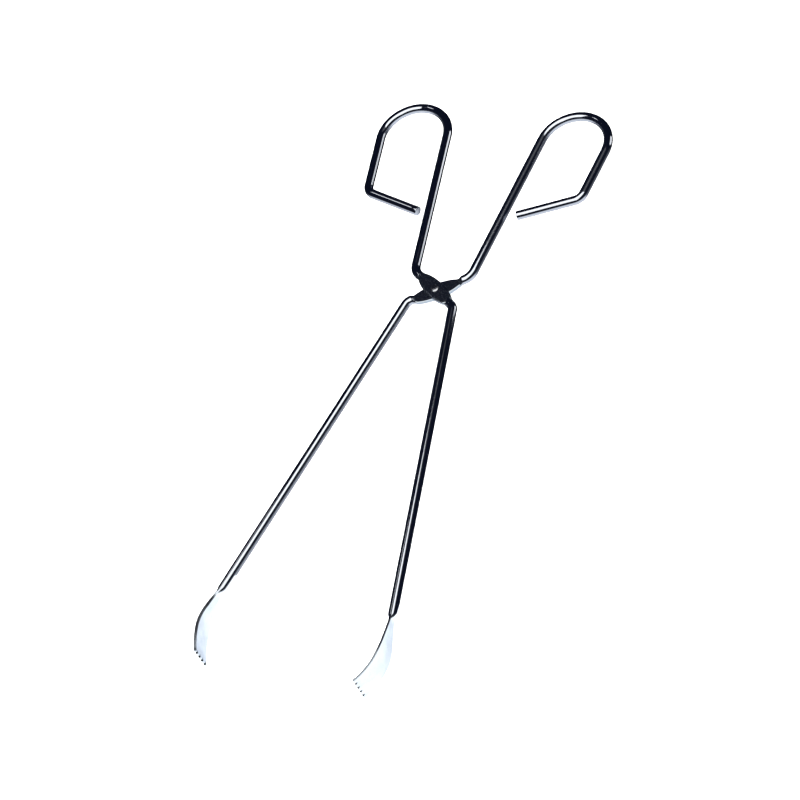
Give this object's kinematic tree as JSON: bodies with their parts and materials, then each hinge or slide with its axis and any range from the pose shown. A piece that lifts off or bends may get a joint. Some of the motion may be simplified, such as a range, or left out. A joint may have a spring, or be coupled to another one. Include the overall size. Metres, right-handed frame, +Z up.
{
  "type": "scissor tongs",
  "caption": "Scissor-type kitchen tongs of chromed wire, with open finger loops, a riveted flat crossing and toothed, inward-curving flat blades.",
  "frame": {"origin": "middle of the footprint on the resting surface, with the tongs lying flat and partly open", "axes": "+Y from the jaws towards the finger loops, +Z up along the rivet, +X from the front arm's finger loop towards the rear arm's"},
  "size_m": [0.1312, 0.342, 0.0155],
  "materials": {
    "arm_chrome": "bright chrome plating on bent steel wire",
    "rivet_steel": "plated steel, peened heads"
  },
  "bodies": {
    "rear": {"rear_arm": "arm_chrome", "pivot_rivet": "rivet_steel"},
    "front": {"front_arm": "arm_chrome"}
  },
  "joints": [
    {"name": "pivot", "type": "hinge", "parent": "rear", "child": "front", "pos_m": [0.0027, 0.05509, 0.00775], "axis": [0, 0, 1], "range_deg": [-22.5, 36]}
  ]
}
